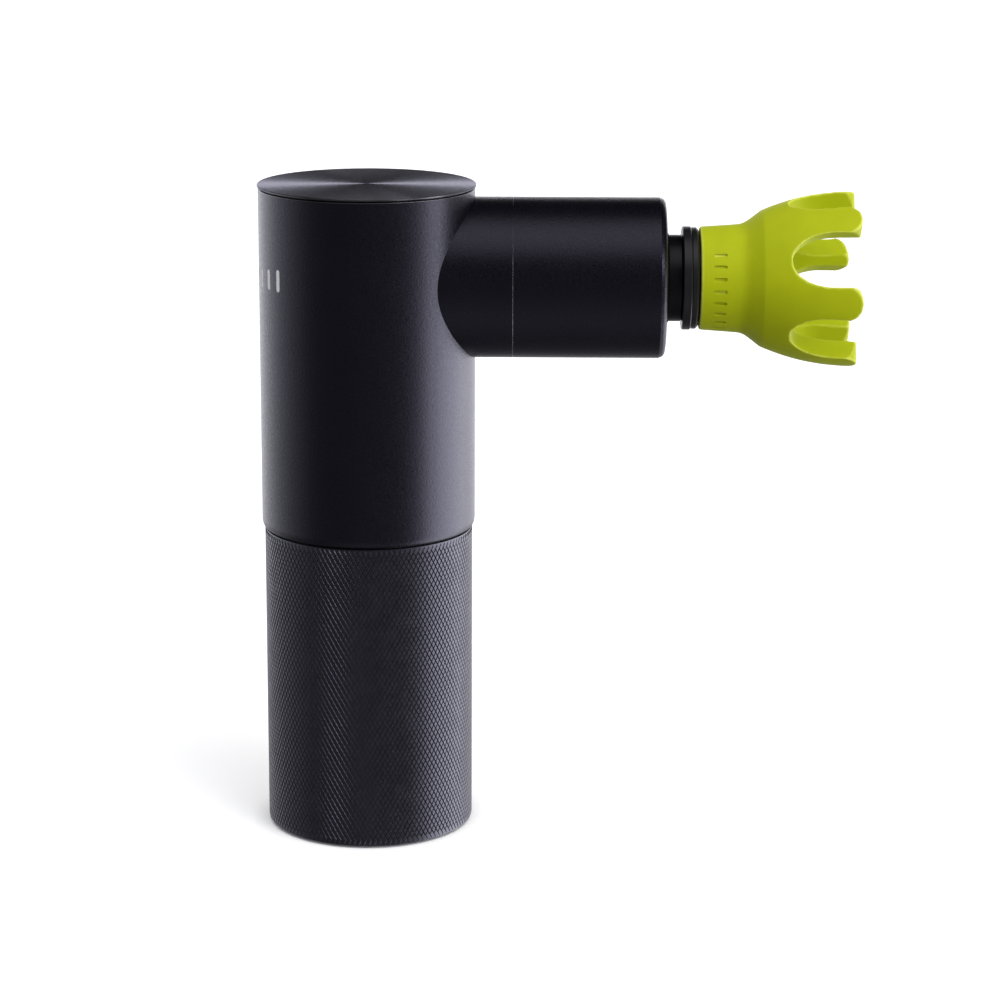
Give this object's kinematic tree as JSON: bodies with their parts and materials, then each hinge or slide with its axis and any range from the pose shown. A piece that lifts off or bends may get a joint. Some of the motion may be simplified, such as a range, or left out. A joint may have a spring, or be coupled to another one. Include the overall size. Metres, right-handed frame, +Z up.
{
  "type": "massage gun",
  "caption": "Percussion massage gun: upright round body with a knurled grip, a short side barrel and a soft crown head with fingers, driven by a crank and piston.",
  "frame": {"origin": "centre of the underside, on the flat lower face of the foot pad; the body axis is the Z axis", "axes": "+Z up along the body, +X along the barrel towards the massage head, +Y completes the right-handed frame; drawn with the piston fully in"},
  "size_m": [0.1325, 0.0484, 0.1469],
  "materials": {
    "black_shell": "satin black anodised, very fine bead blast",
    "spun_cap": "black anodised over fine concentric turning marks",
    "knurled_grip": "black anodised diamond knurl",
    "black_plastic": "fine moulded texture",
    "black_rubber": "matt moulded rubber",
    "light_window": "milky translucent",
    "button_plastic": "satin",
    "switch_metal": "brushed",
    "socket_steel": "nickel plated",
    "circuit_board": "green solder mask",
    "chip_plastic": "moulded epoxy",
    "led_white": "clear over phosphor",
    "screw_steel": "zinc plated",
    "cell_wrap": "heat-shrink film",
    "nickel": "rolled strip",
    "lead_insulation": "silicone insulation",
    "cast_chassis": "die cast",
    "turned_aluminium": "turned",
    "bearing_steel": "ground",
    "lamination_steel": "stacked sheet",
    "copper_wire": "enamelled copper wire",
    "magnet": "nickel plated",
    "crank_steel": "machined",
    "bronze": "sintered bronze",
    "black_piston": "hard black anodised",
    "bush_plastic": "natural acetal",
    "collar_plastic": "satin black moulding",
    "green_silicone": "matt moulded silicone"
  },
  "bodies": {
    "root": {"upper_shell": "black_shell", "barrel_sleeve": "black_shell", "top_cap": "spun_cap", "handle_grip": "knurled_grip", "base_cap": "black_plastic", "foot_pad": "black_rubber", "light_ring": "light_window", "button_switch": "switch_metal", "usb_c_socket": "socket_steel", "control_board": "circuit_board", "controller_chips": "chip_plastic", "status_leds": "led_white", "board_screws": "screw_steel", "battery_holder_bottom": "black_plastic", "battery_holder_top": "black_plastic", "battery_cell_1": "cell_wrap", "battery_cell_2": "cell_wrap", "battery_cell_3": "cell_wrap", "cell_tabs": "nickel", "motor_leads": "lead_insulation", "battery_leads": "lead_insulation", "motor_chassis": "cast_chassis", "motor_base": "turned_aluminium", "motor_screws": "screw_steel", "lower_bearing": "bearing_steel", "upper_bearing": "bearing_steel", "stator_core": "lamination_steel", "stator_windings": "copper_wire", "guide_cylinder": "black_plastic", "guide_screws": "screw_steel", "rear_bush": "bush_plastic", "front_bush": "bush_plastic", "damping_rings": "black_rubber", "dust_seal": "black_rubber"},
    "rotor": {"motor_bell": "turned_aluminium", "rotor_magnets": "magnet", "motor_shaft": "bearing_steel", "eccentric_wheel": "crank_steel"},
    "piston": {"piston": "black_piston", "wrist_pin": "bearing_steel"},
    "rod": {"crank_pin": "bearing_steel", "big_end_bearing": "bearing_steel", "connecting_rod": "turned_aluminium", "small_end_bush": "bronze"},
    "head": {"head_core": "collar_plastic", "head_o_rings": "black_rubber", "crown_head": "green_silicone"},
    "button": {"power_button": "button_plastic"}
  },
  "joints": [
    {"name": "motor_spin", "type": "hinge", "parent": "root", "child": "rotor", "pos_m": [0, 0, 0.1], "axis": [0, 0, 1], "continuous": true},
    {"name": "piston_stroke", "type": "slide", "parent": "root", "child": "piston", "axis": [1, 0, 0], "range_m": [0, 0.006]},
    {"name": "rod_swing", "type": "hinge", "parent": "piston", "child": "rod", "pos_m": [0.026, 0, 0.12616], "axis": [0, 0, 1], "range_deg": [-6, 6]},
    {"name": "head_pull_off", "type": "slide", "parent": "piston", "child": "head", "axis": [1, 0, 0], "range_m": [0, 0.03]},
    {"name": "button_press", "type": "slide", "parent": "root", "child": "button", "axis": [0, 0, 1], "range_m": [0, 0.0006], "stiffness_N_per_m": 1500, "springref_m": -0.0006}
  ]
}
